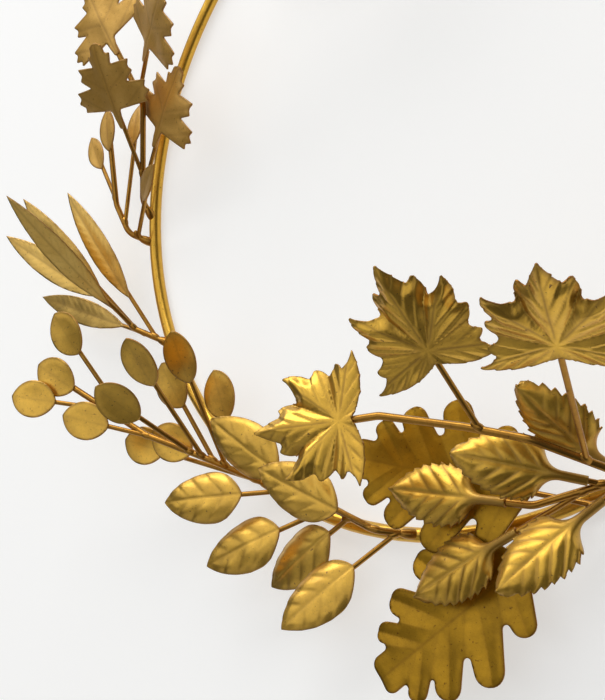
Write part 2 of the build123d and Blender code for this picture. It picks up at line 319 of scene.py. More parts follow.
def bent_wire_point(corners, share):
    """Point at a share of the length of a wire that is bent round the corners."""
    runs = [after - before for before, after in zip(corners, corners[1:])]
    turns = [one.angle(other) for one, other in zip(runs, runs[1:])]
    trims = [0, *(STEM_BEND_RADIUS * tan(turn / 2) for turn in turns), 0]
    straights = [run.length - trims[i] - trims[i + 1] for i, run in enumerate(runs)]
    left = share * (sum(straights) + sum(STEM_BEND_RADIUS * turn for turn in turns))
    for i, run in enumerate(runs):
        along = run.normalized()
        start = corners[i] + along * trims[i]
        if left <= straights[i] or i == len(turns):
            return start + along * left
        left -= straights[i]
        turn = turns[i]
        if left <= STEM_BEND_RADIUS * turn:
            inward = (runs[i + 1].normalized() - along * cos(turn)).normalized()
            swing = left / STEM_BEND_RADIUS
            end = start + along * straights[i]
            return end + STEM_BEND_RADIUS * (along * sin(swing) + inward * (1 - cos(swing)))
        left -= STEM_BEND_RADIUS * turn


def twig_direction(point, leaf):
    """Direction of a twig that starts at a point."""
    outward = Vector((point.x, point.y, 0)).normalized()
    level = Matrix.Rotation(radians(leaf.heading - 90), 3, "Z") @ outward
    return level * cos(radians(leaf.pitch)) + Vector((0, 0, sin(radians(leaf.pitch))))


def leaf_place(base, along, roll, diameter):
    """Place of a leaf that lies on the end of a wire, with X along its midrib and Z out of its face."""
    across = Vector((0, 0, 1)).cross(along).normalized()
    face = along.cross(across)
    turn = Matrix((along, across, face)).transposed().to_4x4()
    lift = Matrix.Translation((0, 0, diameter / 2 - SEAT_DEPTH))
    return Matrix.Translation(base) @ turn @ Matrix.Rotation(radians(roll), 4, "X") @ lift


def stem_wire(sprig, hold):
    """Corners of a stem from its foot to its end, and the base of the leaf on its end."""
    foot = hoop_point(sprig.foot, 0, BAR_DIAMETER / 2)
    bends = [hoop_point(sprig.foot - turn, out, up) for turn, out, up in sprig.route]
    base = bends.pop()
    along = (base - bends[-1]).normalized()
    return [foot, *bends, base + along * hold], base


def sprig_places(sprig, hold):
    """Place of each leaf of a sprig."""
    wire, base = stem_wire(sprig, hold)
    places = [leaf_place(base, (base - wire[-2]).normalized(), 0, STEM_DIAMETER)]
    for leaf in sprig.leaves:
        fork = bent_wire_point(wire, leaf.fork)
        along = twig_direction(fork, leaf)
        places.append(leaf_place(fork + along * leaf.twig, along, leaf.roll, TWIG_DIAMETER))
    return places


# Shapes that the pressings share
def smooth(value):
    """Soft step from 0 to 1."""
    value = min(max(value, 0), 1)
    return value * value * (3 - 2 * value)


def grown(distance, start, run):
    """Soft step from 0 at the start to 1 at the end of the run."""
    return smooth((distance - start) / run)


def groove(distance, breadth):
    """Profile of a fine pressed line: 1 on the line, fading to 0."""
    return exp(-((distance / breadth) ** 2))


def ridge(phase):
    """Rounded ridges with narrower valleys at the whole numbers."""
    bulge = 1 - (2 * (phase - floor(phase)) - 1) ** 2
    return 0.5 * bulge + 0.5 * sin(pi * phase) ** 2


def shingle(phase):
    """Pleats that rise slowly and fall fast, with the fall at the whole numbers."""
    share = phase - floor(phase)
    if share < PLEAT_CREST:
        return smooth(share / PLEAT_CREST)
    return smooth((1 - share) / (1 - PLEAT_CREST))


def fold_rise(out, angle, softness):
    """Rise of a blade folded up along its midrib, with a soft crease."""
    return sqrt(out**2 + softness) * tan(radians(angle))


def polar(reach, angle):
    """Point of a flat blade at an angle from its midrib."""
    return Vector((reach * cos(radians(angle)), reach * sin(radians(angle)), 0))


def rounded_corner(before, corner, after, radius, steps=6):
    """Arc that rounds a corner of an outline."""
    back, ahead = (before - corner).normalized(), (after - corner).normalized()
    half = back.angle(ahead) / 2
    shorter = min((before - corner).length, (after - corner).length)
    trim = min(radius / tan(half), MOST_TRIM * shorter)
    middle = corner + (back + ahead).normalized() * trim / cos(half)
    arm = corner + back * trim - middle
    swing = (pi - 2 * half) * (1 if back.cross(ahead).z < 0 else -1)
    return [middle + Matrix.Rotation(swing * step / steps, 3, "Z") @ arm for step in range(steps + 1)]


def bowed(start, end, bulge, steps=8):
    """Points of a curve from start to just before end, bowed to the left of its chord."""
    run = end - start
    middle = (start + end) / 2 + Vector((-run.y, run.x, 0)).normalized() * 2 * bulge
    shares = [step / steps for step in range(steps)]
    return [start * (1 - t) ** 2 + middle * 2 * t * (1 - t) + end * t**2 for t in shares]


def toothed_edge(corners, base_bulge):
    """Half outline from base to tip: edges bow out towards each tip and in towards each notch."""
    points = bowed(corners[0], corners[1], base_bulge)
    for place, (start, end) in enumerate(zip(corners[1:], corners[2:])):
        bow = TOOTH_BOW if place % 2 else -TOOTH_BOW
        if end == corners[-1]:
            bow = LEAF_TIP_BOW
        points += bowed(start, end, bow * (end - start).length)
    return [*points, corners[-1]]


def softened(corners, reach):
    """Half outline with its tips and notches rounded, as sheet that was cut and filed by hand."""
    even = []
    for start, end in zip(corners, corners[1:]):
        count = max(round((end - start).length / EDGE_STEP), 1)
        even += [start.lerp(end, step / count) for step in range(count)]
    even.append(corners[-1])
    span = round(reach / EDGE_STEP)
    flipped = [Vector((point.x, -point.y, 0)) for point in reversed(even)]
    whole = flipped[-span - 1 : -1] + even + flipped[1 : span + 1]
    windows = [whole[place : place + 2 * span + 1] for place in range(len(even))]
    return [sum(window, Vector((0, 0, 0))) / len(window) for window in windows]


def egg_edge(length, width, belly, x):
    """Half width of an egg-shaped blade, on two arcs that meet at the belly."""
    half = width / 2
    run = belly if x < belly else length - belly
    radius = (run**2 + half**2) / 2 / half
    return half - radius + sqrt(max(radius**2 - (x - belly) ** 2, 0))


def egg_outline(length, width, belly, steps=36):
    """Half outline of an egg-shaped blade, from its base to its tip."""
    stations = [length * (1 - cos(pi * step / steps)) / 2 for step in range(steps + 1)]
    return [Vector((x, max(egg_edge(length, width, belly, x), 0), 0)) for x in stations]


def edge_distance(point, outline):
    """Distance from a point to the nearest edge of the outline."""
    nearest = 1e9
    for start, end in zip(outline, outline[1:]):
        run = end - start
        share = min(max((point - start).dot(run) / max(run.length_squared, 1e-9), 0), 1)
        nearest = min(nearest, (point - start - run * share).length)
    return nearest


# Half outlines and pressed forms of the eight kinds of leaf
def maple_outline():
    """Toothed lobes round the point where the veins meet."""
    corners = [polar(MAPLE_REACH * share, angle) for angle, share in reversed(MAPLE_EDGE)]
    return softened(toothed_edge(corners, MAPLE_BASE_BULGE), EDGE_SOFTNESS)


def maple_press(x, y):
    """Lobes that fall away on both sides of their veins, pleated between fine side veins."""
    reach = hypot(x, y)
    angle = degrees(atan2(abs(y), x))
    sector = sum(angle > bay for bay in MAPLE_BAYS)
    vein = MAPLE_VEINS[sector]
    bay = MAPLE_BAYS[min(sector, 2)] if angle > vein or sector == 0 else MAPLE_BAYS[sector - 1]
    off = radians(abs(angle - vein))
    out = reach * sin(off)
    along = reach * cos(off)
    fall = min(sin(off) / sin(radians(abs(bay - vein))), 1)
    lean = radians(MAPLE_SIDE_VEIN_LEAN)
    phase = (along - out / tan(lean)) / MAPLE_SIDE_VEIN_STEP
    begun = grown(phase, -1, 1)
    pleat = MAPLE_PLEAT * shingle(phase) * grown(out, 0, 2.5) * grown(reach, 3, 6) * begun
    turn = abs(phase - round(phase)) * MAPLE_SIDE_VEIN_STEP * sin(lean)
    side_vein = 0.8 * groove(turn, MAPLE_SIDE_VEIN_BREADTH) * grown(out, 0, 1.5) * begun
    line = max(groove(out, MAPLE_VEIN_BREADTH), side_vein) * grown(reach, 1, 4)
    droop = MAPLE_SIDE_DROOP * (y / MAPLE_REACH) ** 2 + MAPLE_TIP_DROOP * max(x / MAPLE_REACH, 0) ** 3
    rise = MAPLE_RELIEF * (reach / MAPLE_REACH) ** 1.3 * (MAPLE_CREST - fall**1.2)
    # Painted shade: the blade is darkened where it falls towards each bay, and this goes out with the vein
    # lines
    darkening = MAPLE_BAY_SHADE * fall**4 * grown(reach, 5, 10)
    return SHEET + rise - droop - MAPLE_VEIN_DEPTH * line, pleat, max(0.8 * line, darkening)


def finger_flank(finger, side, sinus):
    """Where one flank of a finger comes down to the level of its bay."""
    lean = radians(finger.angle)
    return finger.station + sinus / tan(lean) + side * finger.breadth / 2 / sin(lean)


def oak_bays():
    """Place of each bay along the midrib, past each finger."""
    places = []
    for finger, ahead in zip(OAK_FINGERS, OAK_FINGERS[1:]):
        places.append((finger_flank(finger, 1, finger.sinus) + finger_flank(ahead, -1, finger.sinus)) / 2)
    places.append(finger_flank(OAK_FINGERS[-1], 1, OAK_FINGERS[-1].sinus))
    return places


OAK_BAYS = oak_bays()
OAK_LENGTH = OAK_BAYS[-1] + OAK_END_LOBE


def oak_outline():
    """Rounded fingers with narrow bays, and a broad end."""
    corners = [Vector((0, OAK_STALK_BREADTH / 2, 0))]
    radii = []
    for finger, place in zip(OAK_FINGERS, OAK_BAYS):
        tip = Vector((finger.station, 0, 0)) + polar(finger.reach, finger.angle)
        side = polar(finger.breadth / 2, finger.angle + 90)
        corners += [tip + side, tip - side, Vector((place, finger.sinus, 0))]
        radii += [OAK_ROUNDING * finger.breadth, OAK_ROUNDING * finger.breadth, OAK_BAY_RADIUS]
    corners += [Vector((OAK_LENGTH, OAK_END_BREADTH / 2, 0)), Vector((OAK_LENGTH, 0, 0))]
    radii.append(OAK_ROUNDING * OAK_END_BREADTH)
    points = [Vector((0, 0, 0)), corners[0]]
    for before, corner, after, radius in zip(corners, corners[1:], corners[2:], radii):
        points += rounded_corner(before, corner, after, radius)
    return [*points, corners[-1]]


def oak_creases():
    """Creases of half a leaf, each as its inner and outer end."""
    rib = Vector((0, 0, SHEET))
    crest = Vector((0, 0, OAK_RELIEF))
    creases = [(rib, rib + polar(OAK_LENGTH, OAK_BASE_ANGLE) + crest)]
    for finger, place in zip(OAK_FINGERS, OAK_BAYS):
        start = rib + Vector((finger.station, 0, 0))
        creases.append((start, start + polar(OAK_LENGTH, finger.angle)))
        lean = finger.angle - OAK_FAN
        start = rib + Vector((place - finger.sinus / tan(radians(lean)), 0, 0))
        creases.append((start, start + polar(OAK_LENGTH, lean) + crest))
    creases.append((start, start + polar(OAK_LENGTH, 0)))
    return creases


OAK_CREASES = oak_creases()


def oak_press(x, y):
    """Flat facets between the creases, each finger folded along its own vein."""
    y = abs(y)
    height, line = SHEET, 0.0
    for (inner, outer), (next_inner, next_outer) in zip(OAK_CREASES, OAK_CREASES[1:]):
        off = crease_offset(x, y, inner, outer)
        next_off = crease_offset(x, y, next_inner, next_outer)
        line = max(line, groove(off, OAK_CREASE_BREADTH))
        if off <= 0 and next_off >= 0:
            low = crease_height(x, y, inner, outer)
            high = crease_height(x, y, next_inner, next_outer)
            share = -off / max(next_off - off, 1e-6)
            height = low + (high - low) * share
    return height, 0, max(0.25 * line, 0.5 * groove(y, OAK_CREASE_BREADTH))


def crease_offset(x, y, inner, outer):
    """Distance to the left of a crease, seen from its inner end."""
    run = outer - inner
    return (run.x * (y - inner.y) - run.y * (x - inner.x)) / hypot(run.x, run.y)


def crease_height(x, y, inner, outer):
    """Height of a crease abreast of a point."""
    run = outer - inner
    share = ((x - inner.x) * run.x + (y - inner.y) * run.y) / (run.x**2 + run.y**2)
    return inner.z + run.z * max(share, 0)


def hornbeam_outline():
    """Saw-toothed egg, with a broad tongue at its base that is rolled round the wire."""
    tongue = pi * HORNBEAM_NECK_RADIUS
    points = [Vector((-HORNBEAM_NECK, 0, 0)), Vector((-HORNBEAM_NECK, tongue, 0)), Vector((0, tongue, 0))]
    step = (HORNBEAM_LENGTH - HORNBEAM_FIRST_TOOTH) / (HORNBEAM_TEETH + 0.6)
    for tooth in range(HORNBEAM_TEETH):
        x = HORNBEAM_FIRST_TOOTH + tooth * step
        edge = max(egg_edge(HORNBEAM_LENGTH, HORNBEAM_WIDTH, HORNBEAM_BELLY, x), HORNBEAM_NECK_RADIUS)
        points.append(Vector((x, edge - HORNBEAM_TOOTH_DEPTH / 2, 0)))
        tip = x + 0.95 * step
        edge = egg_edge(HORNBEAM_LENGTH, HORNBEAM_WIDTH, HORNBEAM_BELLY, tip)
        points.append(Vector((x + 0.5 * step, edge * 0.5 + points[-1].y * 0.5 + 0.35, 0)))
        points.append(Vector((tip, edge + HORNBEAM_TOOTH_DEPTH / 2, 0)))
    return [*points, Vector((HORNBEAM_LENGTH, 0, 0))]


def hornbeam_press(x, y):
    """Strong rounded ridges between side veins that lean and bend towards the tip, with painted shade in the
    valleys and at the neck.
    """
    out = abs(y)
    on_blade = min(max(x, 0), HORNBEAM_LENGTH)
    edge = max(egg_edge(HORNBEAM_LENGTH, HORNBEAM_WIDTH, HORNBEAM_BELLY, on_blade), 1)
    share = min(out / edge, 1)
    lag = out / tan(radians(VEIN_LEAN)) * (1 + HORNBEAM_VEIN_BEND * share)
    phase = (x - lag) / HORNBEAM_LENGTH * HORNBEAM_SIDE_VEINS
    open_out = grown(x, 1, 7)
    calm = 1 - 0.7 * grown(x / HORNBEAM_LENGTH, 0.5, 0.4)
    pleat = HORNBEAM_PLEAT * shingle(phase) + HORNBEAM_RIDGE * ridge(phase)
    # Painted shade: darker in the valleys between the ridges and at the rolled neck
    valley = (1 - ridge(phase)) ** 3 * grown(out, 0, 1.5) * calm
    line = max(0.6 * groove(out, 0.6), valley) * open_out
    line = max(line, 1 - grown(x, -1, 11))
    droop = HORNBEAM_TIP_DROOP * max(x / HORNBEAM_LENGTH, 0) ** 2 + HORNBEAM_DOME * share**2 * open_out
    rib = HORNBEAM_RIB_DEPTH * groove(out, 0.7) * open_out
    return SHEET - droop - rib, pleat * grown(out, 0, 3.5) * open_out * calm, line


def beech_press(x, y):
    """Soft ridges between side veins on a domed blade."""
    out = abs(y)
    on_blade = min(max(x, 0), BEECH_LENGTH)
    edge = max(egg_edge(BEECH_LENGTH, BEECH_WIDTH, BEECH_BELLY, on_blade), 0.5)
    share = min(out / edge, 1)
    lag = out / tan(radians(VEIN_LEAN)) * (1 + BEECH_VEIN_BEND * share)
    phase = (x - lag) / BEECH_LENGTH * BEECH_SIDE_VEINS
    pleat = (0.5 * shingle(phase) + 0.5 * ridge(phase)) * grown(out, 0, 4)
    valley = 0.15 * (1 - ridge(phase)) ** 6 * grown(out, 0, 1.5) * (1 - 0.7 * share)
    line = max(0.25 * groove(out, 0.45), valley)
    sag = BEECH_TIP_DROOP * (x / BEECH_LENGTH) ** 2 + BEECH_DOME * (2 * out / BEECH_WIDTH) ** 2.4
    return SHEET - sag - BEECH_RIB_DEPTH * groove(out, 0.5), BEECH_PLEAT * pleat, line


def eucalyptus_press(x, y):
    """Shallow dish that droops towards its tip."""
    dish = EUCALYPTUS_DISH * (2 * y / EUCALYPTUS_WIDTH) ** 2
    droop = EUCALYPTUS_TIP_DROOP * (x / EUCALYPTUS_LENGTH) ** 2
    return SHEET - droop + dish, 0, 0.25 * groove(y, 0.5)


def willow_press(x, y):
    """Long blade folded up along its midrib, with fine side veins."""
    out = abs(y)
    phase = (x - out / tan(radians(WILLOW_VEIN_LEAN))) / WILLOW_LENGTH * WILLOW_SIDE_VEINS
    line = max(groove(out, 0.5), 0.5 * (1 - ridge(phase)) ** 5 * grown(out, 0, 1.2))
    rise = fold_rise(out, WILLOW_FOLD, 0.4) - 0.05
    pleat = WILLOW_PLEAT * ridge(phase) * grown(out, 0, 2)
    return SHEET + rise - WILLOW_TIP_DROOP * (x / WILLOW_LENGTH) ** 2, pleat, 0.6 * line


def hawthorn_outline():
    """Jagged lobes on a narrow base."""
    corners = [Vector((x, y, 0)) for x, y in HAWTHORN_EDGE]
    return softened([Vector((0, 0, 0)), *corners], EDGE_SOFTNESS)


def hawthorn_press(x, y):
    """Blade folded down along its midrib, with a vein to each lobe."""
    out = abs(y)
    slope = tan(radians(HAWTHORN_VEIN_LEAN))
    lobes = min(abs(out - (x - start) * slope) * 0.5 for start in HAWTHORN_VEIN_STARTS)
    line = max(0.6 * groove(out, 0.5), 0.4 * groove(lobes, 0.5) * grown(out, 0, 1.5))
    fall = fold_rise(out, HAWTHORN_FOLD, 0.8) - 0.06
    droop = HAWTHORN_TIP_DROOP * (x / HAWTHORN_LENGTH) ** 2
    return SHEET - fall - droop - HAWTHORN_VEIN_DEPTH * line, 0, line


def myrtle_press(x, y):
    """Small blade folded up along its midrib."""
    rise = fold_rise(y, MYRTLE_FOLD, 0.5) - 0.07
    return SHEET + rise - MYRTLE_TIP_DROOP * (x / MYRTLE_LENGTH) ** 2, 0, 0.5 * groove(y, 0.45)


def flat(x, y, z):
    """A point of a blade that isn't rolled."""
    return Vector((x, y, z))


def rolled_neck(x, y, z):
    """The base of a hornbeam leaf rolled round its wire, opening out into the blade."""
    roll = 1 - grown(x, -0.5, 7.5)
    if roll < 0.01:
        return Vector((x, y, z))
    bend = roll / HORNBEAM_NECK_RADIUS
    lift = roll * (HORNBEAM_NECK_RADIUS + SEAT_DEPTH - TWIG_DIAMETER / 2 - SHEET)
    return Vector((x, sin(bend * y) / bend, z + lift - (1 - cos(bend * y)) / bend))


class Kind(NamedTuple):
    """How one kind of leaf is cut and pressed, and how far its wire runs along it."""

    outline: Callable
    press: Callable
    hold: float
    shape: Callable = flat
    wobble: float = 0.2  # height of its dents
    roll: float = 0.25  # fall of its edge
    rolled_edge: float = ROLLED_EDGE
    lean: float = 0  # how much deeper its pleats are on the left half
    net: float = NET
    folds: tuple = ()


def egg(length, width, belly):
    """Maker of one egg-shaped outline."""
    return lambda: egg_outline(length, width, belly)


MAPLE_FOLD_ANGLES = sorted(MAPLE_VEINS[1:3] + MAPLE_BAYS)
MAPLE_FOLDS = tuple((Vector((0, 0, 0)), polar(1, angle)) for angle in MAPLE_FOLD_ANGLES)
OAK_FOLDS = tuple((inner, outer - inner) for inner, outer in OAK_CREASES[:-1])

KINDS = {
    "maple": Kind(
        maple_outline,
        maple_press,
        hold=3,
        wobble=0.6,
        roll=1.5,
        rolled_edge=MAPLE_ROLLED_EDGE,
        net=FINE_NET,
        folds=MAPLE_FOLDS,
    ),
    "hornbeam": Kind(
        hornbeam_outline,
        hornbeam_press,
        hold=3 - HORNBEAM_NECK,
        shape=rolled_neck,
        wobble=0.6,
        lean=0.6,
        net=FINE_NET,
    ),
    "oak": Kind(oak_outline, oak_press, hold=8, folds=OAK_FOLDS),
    "beech": Kind(
        egg(BEECH_LENGTH, BEECH_WIDTH, BEECH_BELLY),
        beech_press,
        hold=5,
        wobble=0.5,
        roll=0.4,
        net=FINE_NET,
    ),
    "eucalyptus": Kind(egg(EUCALYPTUS_LENGTH, EUCALYPTUS_WIDTH, EUCALYPTUS_BELLY), eucalyptus_press, hold=4),
    "willow": Kind(egg(WILLOW_LENGTH, WILLOW_WIDTH, WILLOW_BELLY), willow_press, hold=7, wobble=0.3),
    "hawthorn": Kind(hawthorn_outline, hawthorn_press, hold=5, wobble=0.5),
    "myrtle": Kind(egg(MYRTLE_LENGTH, MYRTLE_WIDTH, MYRTLE_BELLY), myrtle_press, hold=4),
}


# Leaves as meshes
def everything(mesh):
    """All the elements of a mesh, as the cutting tools ask for them."""
    return mesh.verts[:] + mesh.edges[:] + mesh.faces[:]


def cut_net(mesh, axis, spacing):
    """Cut a flat blade across one axis into strips."""
    low = min(corner.co[axis] for corner in mesh.verts)
    high = max(corner.co[axis] for corner in mesh.verts)
    strips = ceil((high - low) / spacing)
    across = Vector((0, 0, 0))
    across[axis] = 1
    for strip in range(1, strips):
        place = across * (low + (high - low) * strip / strips)
        bmesh.ops.bisect_plane(mesh, geom=everything(mesh), dist=WELD, plane_co=place, plane_no=across)


def flat_blade(kind):
    """Flat blade of one kind of leaf as a fine net of faces, with its distance to the edge."""
    outline = kind.outline()
    mesh = bmesh.new()
    mesh.faces.new([mesh.verts.new(point) for point in outline])
    for place, run in kind.folds:
        across = Vector((-run.y, run.x, 0)).normalized()
        level = Vector((place.x, place.y, 0))
        bmesh.ops.bisect_plane(mesh, geom=everything(mesh), dist=WELD, plane_co=level, plane_no=across)
    cut_net(mesh, 0, kind.net)
    cut_net(mesh, 1, kind.net)
    bmesh.ops.mirror(mesh, geom=everything(mesh), axis="Y", merge_dist=WELD)
    bmesh.ops.remove_doubles(mesh, verts=mesh.verts[:], dist=WELD)
    bmesh.ops.recalc_face_normals(mesh, faces=mesh.faces[:])
    if sum(face.normal.z for face in mesh.faces) < 0:
        bmesh.ops.reverse_faces(mesh, faces=mesh.faces[:])
    rim = mesh.verts.layers.float.new("rim")
    edge = [point for point in outline if point.y > WELD / 2 or point == outline[-1]]
    for corner in mesh.verts:
        place = Vector((corner.co.x, abs(corner.co.y), 0))
        corner[rim] = edge_distance(place, edge)
    return mesh


def pressed_leaf(blade, kind, draw):
    """One leaf: the flat blade pressed into its form, with small dents of its own."""
    mesh = blade.copy()
    rim = mesh.verts.layers.float["rim"]
    vein = mesh.verts.layers.float.new("vein")
    dent = Vector((draw.uniform(-DENT_FIELD, DENT_FIELD), draw.uniform(-DENT_FIELD, DENT_FIELD), 0))
    twist = draw.uniform(-MOST_TWIST, MOST_TWIST)
    curl = draw.uniform(*CURL)
    depth = draw.uniform(*PLEAT_DEPTH)
    lean = kind.lean + draw.uniform(-PLEAT_LEAN, PLEAT_LEAN)
    for corner in mesh.verts:
        x, y, _ = corner.co
        form, pleat, line = kind.press(x, y)
        loose = grown(x, SEATED, LOOSENING)
        height = form + pleat * depth * (1 + lean * grown(y, -LEAN_RUN / 2, LEAN_RUN) - lean / 2)
        height -= kind.roll * loose * smooth(1 - corner[rim] / kind.rolled_edge)
        height += kind.wobble * loose * noise.noise(Vector((x, y, 0)) / DENT_SPACING + dent)
        height += loose * (twist * x * y - curl * x * x)
        # The vein layer holds the darker vein lines, and the painted shade in the maple bays and in the
        # hornbeam valleys and neck
        corner[vein] = min(max(line, 0), 1)
        corner.co = kind.shape(x, y, height)
    return mesh


def add_leaves(name, kind, blade, places, seed):
    """All the leaves of one sprig as one piece."""
    draw = random.Random(seed)
    sprig = bpy.data.meshes.new(name)
    gathered = bmesh.new()
    for place in places:
        leaf = pressed_leaf(blade, kind, draw)
        leaf.transform(place)
        one = bpy.data.meshes.new("one_leaf")
        leaf.to_mesh(one)
        leaf.free()
        gathered.from_mesh(one)
        bpy.data.meshes.remove(one)
    for face in gathered.faces:
        face.smooth = True
    gathered.to_mesh(sprig)
    gathered.free()
    piece = bpy.data.objects.new(name, sprig)
    bpy.context.scene.collection.objects.link(piece)
    wall = piece.modifiers.new("wall", "SOLIDIFY")
    wall.thickness = SHEET * MM
    wall.offset = -1
    wall.use_rim = True
    wall.material_offset_rim = 1
    return piece


# Braze metal where the wires meet
def sprig_joins(sprig, hold):
    """Place, direction and half sizes of the bead at the stem's foot and at each fork."""
    wire, _ = stem_wire(sprig, hold)
    rise = (wire[1] - wire[0]).normalized()
    joins = [(wire[0] + rise * FOOT_BRAZE_RISE, rise, FOOT_BRAZE)]
    for leaf in sprig.leaves:
        fork = bent_wire_point(wire, leaf.fork)
        beyond = bent_wire_point(wire, leaf.fork + FORK_STEP)
        twig = twig_direction(fork, leaf)
        joins.append((fork + twig * FORK_BRAZE_RISE, (beyond - fork).normalized() + twig, FORK_BRAZE))
    return joins


def add_braze(name, joins, around):
    """Smooth beads of braze metal that swell the wires at their joins."""
    mesh = bmesh.new()
    for place, along, (reach, breadth) in joins:
        turn = along.to_track_quat("X", "Z").to_matrix().to_4x4()
        bead = Matrix.Diagonal((reach, breadth, breadth, 1))
        whole = Matrix.Scale(MM, 4) @ around @ Matrix.Translation(place) @ turn @ bead
        bmesh.ops.create_uvsphere(mesh, u_segments=20, v_segments=12, radius=1, matrix=whole)
    for face in mesh.faces:
        face.smooth = True
    data = bpy.data.meshes.new(name)
    mesh.to_mesh(data)
    mesh.free()
    piece = bpy.data.objects.new(name, data)
    bpy.context.scene.collection.objects.link(piece)
    return piece


# Finishes
POLISH = -0.06  # roughness that the lighter clouds lose
DULLNESS = 0.18  # roughness that tarnish adds
DENT_SHARE = 2.5
LEAF_GRAIN = 0.3
GRAIN_HEIGHT = 0.0001
LACQUER_ROUGHNESS = 0.36
LACQUER_IOR = 1.75
THIN_LACQUER = 0.15
LEAF_LACQUER = 0.55
BROWNED_EDGE = 1.1  # breadth of the darker strip along a leaf's edge, in millimetres
MOST_TARNISH_AND_SHADE = 0.6


def link(tree, source, target):
    """Join an output to an input."""
    tree.links.new(source, target)


def add_noise(tree, place, scale, detail, roughness=0.5):
    """Noise over a place, from 0 to 1."""
    texture = tree.nodes.new("ShaderNodeTexNoise")
    texture.inputs["Scale"].default_value = scale
    texture.inputs["Detail"].default_value = detail
    texture.inputs["Roughness"].default_value = roughness
    link(tree, place, texture.inputs["Vector"])
    return texture.outputs["Fac"]


def add_range(tree, value, low, high):
    """A value spread from 0 at the low end to 1 at the high end."""
    spread = tree.nodes.new("ShaderNodeMapRange")
    spread.inputs["From Min"].default_value = low
    spread.inputs["From Max"].default_value = high
    link(tree, value, spread.inputs["Value"])
    return spread.outputs["Result"]


def add_larger(tree, one, other):
    """The larger of two values."""
    larger = tree.nodes.new("ShaderNodeMath")
    larger.operation = "MAXIMUM"
    link(tree, one, larger.inputs[0])
    link(tree, other, larger.inputs[1])
    return larger.outputs["Value"]


def add_sum(tree, value, times, other):
    """A value taken so many times, added to another."""
    total = tree.nodes.new("ShaderNodeMath")
    total.operation = "MULTIPLY_ADD"
    total.inputs[1].default_value = times
    link(tree, value, total.inputs[0])
    link(tree, other, total.inputs[2])
    return total.outputs["Value"]


def add_blend(tree, share, one, other):
    """One colour turning into another as the share goes from 0 to 1."""
    blend = tree.nodes.new("ShaderNodeMix")
    blend.data_type = "RGBA"
    link(tree, share, blend.inputs["Factor"])
    link(tree, one, blend.inputs["A"])
    link(tree, other, blend.inputs["B"])
    return blend.outputs["Result"]


def make_aged_metal():
    """Group: mottled metal colour with tarnish and painted shade, and the roughness and fine grain that go
    with it.
    """
    group = bpy.data.node_groups.new("aged metal", "ShaderNodeTree")
    for name in ("Light", "Deep", "Tarnish"):
        group.interface.new_socket(name, in_out="INPUT", socket_type="NodeSocketColor")
    for name in ("Tarnish and shade amount", "Roughness"):
        group.interface.new_socket(name, in_out="INPUT", socket_type="NodeSocketFloat")
    group.interface.new_socket("Color", in_out="OUTPUT", socket_type="NodeSocketColor")
    for name in ("Rough", "Grain"):
        group.interface.new_socket(name, in_out="OUTPUT", socket_type="NodeSocketFloat")
    given = group.nodes.new("NodeGroupInput")
    made = group.nodes.new("NodeGroupOutput")
    place = group.nodes.new("ShaderNodeTexCoord").outputs["Object"]

    clouds = add_noise(group, place, scale=90, detail=7, roughness=0.78)
    clouds = add_range(group, clouds, low=0.32, high=0.68)
    mottle = add_blend(group, clouds, given.outputs["Deep"], given.outputs["Light"])
    pits = add_range(group, add_noise(group, place, scale=900, detail=3), low=0.64, high=0.78)
    darkening = add_larger(group, pits, given.outputs["Tarnish and shade amount"])
    aged = add_blend(group, darkening, mottle, given.outputs["Tarnish"])
    link(group, aged, made.inputs["Color"])

    worn = add_sum(group, clouds, POLISH, given.outputs["Roughness"])
    link(group, add_sum(group, darkening, DULLNESS, worn), made.inputs["Rough"])

    grain = add_noise(group, place, scale=2200, detail=2)
    dents = add_noise(group, place, scale=320, detail=2)
    link(group, add_sum(group, dents, DENT_SHARE, grain), made.inputs["Grain"])
    return group


AGED_METAL = make_aged_metal()


def metal(name, light, deep, tarnish, roughness, grain, lacquer=THIN_LACQUER):
    """Lacquered metal on the shared group."""
    material = bpy.data.materials.new(name)
    material.use_nodes = True
    tree = material.node_tree
    shader = tree.nodes["Principled BSDF"]
    shader.inputs["Metallic"].default_value = 1.0
    shader.inputs["Coat Weight"].default_value = lacquer
    shader.inputs["Coat Roughness"].default_value = LACQUER_ROUGHNESS
    shader.inputs["Coat IOR"].default_value = LACQUER_IOR
    aged = tree.nodes.new("ShaderNodeGroup")
    aged.name = "aged metal"
    aged.node_tree = AGED_METAL
    aged.inputs["Light"].default_value = (*light, 1)
    aged.inputs["Deep"].default_value = (*deep, 1)
    aged.inputs["Tarnish"].default_value = (*tarnish, 1)
    aged.inputs["Tarnish and shade amount"].default_value = 0.0
    aged.inputs["Roughness"].default_value = roughness
    link(tree, aged.outputs["Color"], shader.inputs["Base Color"])
    link(tree, aged.outputs["Rough"], shader.inputs["Roughness"])
    bump = tree.nodes.new("ShaderNodeBump")
    bump.inputs["Strength"].default_value = grain
    bump.inputs["Distance"].default_value = GRAIN_HEIGHT
    link(tree, aged.outputs["Grain"], bump.inputs["Height"])
    link(tree, bump.outputs["Normal"], shader.inputs["Normal"])
    return material


def leaf_metal(name, light, deep, tarnish, roughness, lacquer=LEAF_LACQUER):
    """Leaf metal, darker in its veins and along its edge, and with painted shade where the press marks it.
    """
    material = metal(name, light, deep, tarnish, roughness, LEAF_GRAIN, lacquer)
    tree = material.node_tree
    vein = tree.nodes.new("ShaderNodeAttribute")
    vein.attribute_name = "vein"
    rim = tree.nodes.new("ShaderNodeAttribute")
    rim.attribute_name = "rim"
    brink = add_range(tree, rim.outputs["Fac"], BROWNED_EDGE, 0.0)
    share = tree.nodes.new("ShaderNodeMath")
    share.operation = "MULTIPLY"
    share.inputs[1].default_value = MOST_TARNISH_AND_SHADE
    link(tree, add_larger(tree, vein.outputs["Fac"], brink), share.inputs[0])
    link(tree, share.outputs["Value"], tree.nodes["aged metal"].inputs["Tarnish and shade amount"])
    return material


